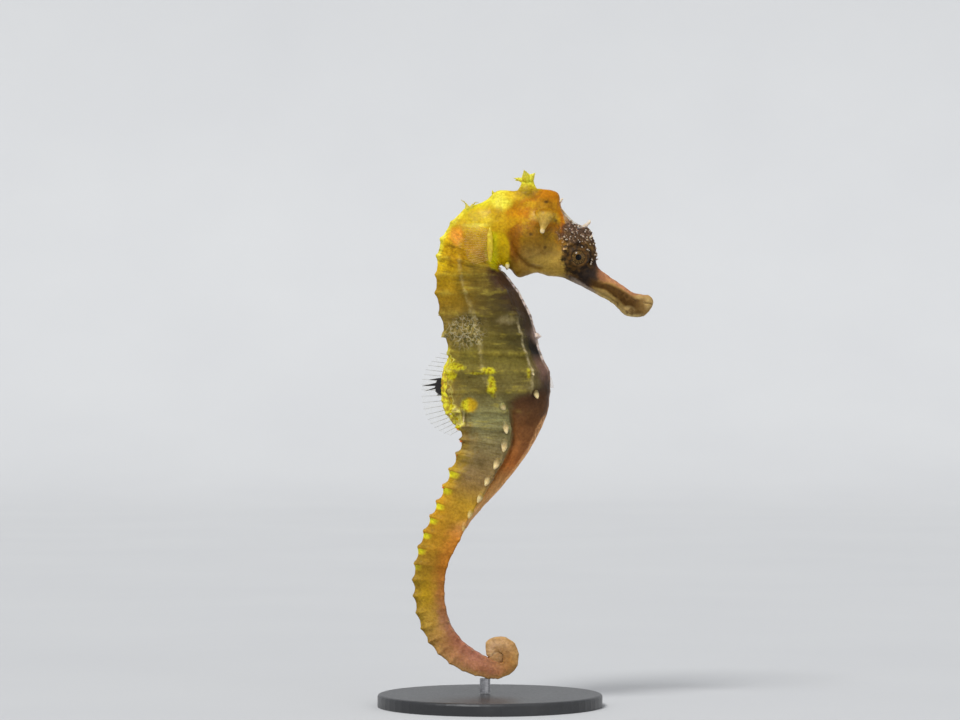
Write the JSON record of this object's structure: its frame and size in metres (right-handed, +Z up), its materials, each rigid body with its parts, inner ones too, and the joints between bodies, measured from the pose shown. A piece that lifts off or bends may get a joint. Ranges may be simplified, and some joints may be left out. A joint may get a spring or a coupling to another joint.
{
  "type": "seahorse model",
  "caption": "Life-size still seahorse with a coronet, a long snout, a ringed spiny body, a brood pouch and a curled tail, held upright by a short rod on a round base",
  "frame": {"origin": "centre of the stand base's flat underside, on the surface that the model stands on", "axes": "+X points the way the snout faces, +Y to the animal's left, +Z up; the animal's middle plane is y = 0"},
  "size_m": [0.0662, 0.054, 0.129],
  "materials": {
    "skin": "moist bony skin, yellow and amber with a brown belly",
    "eye": "wet and glossy",
    "fin": "thin and translucent, with rays",
    "stand_paint": "satin black paint",
    "stand_steel": "brushed"
  },
  "bodies": {
    "root": {"snout": "skin", "head": "skin", "coronet": "skin", "neck": "skin", "trunk": "skin", "brood_pouch": "skin", "tail_root": "skin", "tail_upper": "skin", "tail_lower": "skin", "tail_curl": "skin", "eye_left": "eye", "eye_right": "eye", "dorsal_fin": "fin", "anal_fin": "fin", "pectoral_fin_left": "fin", "pectoral_fin_right": "fin", "stand_base": "stand_paint", "stand_rod": "stand_steel"}
  },
  "joints": []
}
